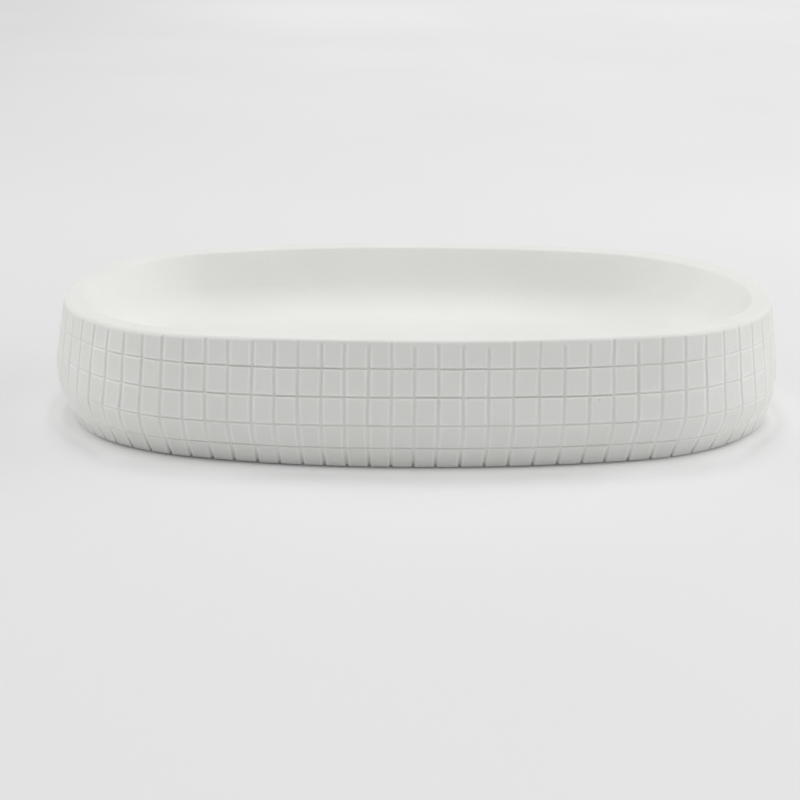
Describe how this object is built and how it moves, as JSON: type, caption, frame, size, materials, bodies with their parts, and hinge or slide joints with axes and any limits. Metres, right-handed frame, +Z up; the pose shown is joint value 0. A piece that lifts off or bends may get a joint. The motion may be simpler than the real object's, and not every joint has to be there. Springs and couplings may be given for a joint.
{
  "type": "soap dish",
  "caption": "Oval cast soap dish with a smooth shallow bowl, a flat rim and a wall cut into a mosaic of small tiles, on soft feet.",
  "frame": {"origin": "on the surface that the dish stands on, under the middle of the dish", "axes": "+X along the length, -Y towards the viewer of the picture, +Z up"},
  "size_m": [0.14, 0.078, 0.025],
  "materials": {
    "cast_resin": "matte",
    "soft_foot": "matte",
    "adhesive_film": "satin"
  },
  "bodies": {
    "root": {"dish_body": "cast_resin", "foot_front_left": "soft_foot", "adhesive_front_left": "adhesive_film", "foot_front_right": "soft_foot", "adhesive_front_right": "adhesive_film", "foot_rear_left": "soft_foot", "adhesive_rear_left": "adhesive_film", "foot_rear_right": "soft_foot", "adhesive_rear_right": "adhesive_film"}
  },
  "joints": []
}
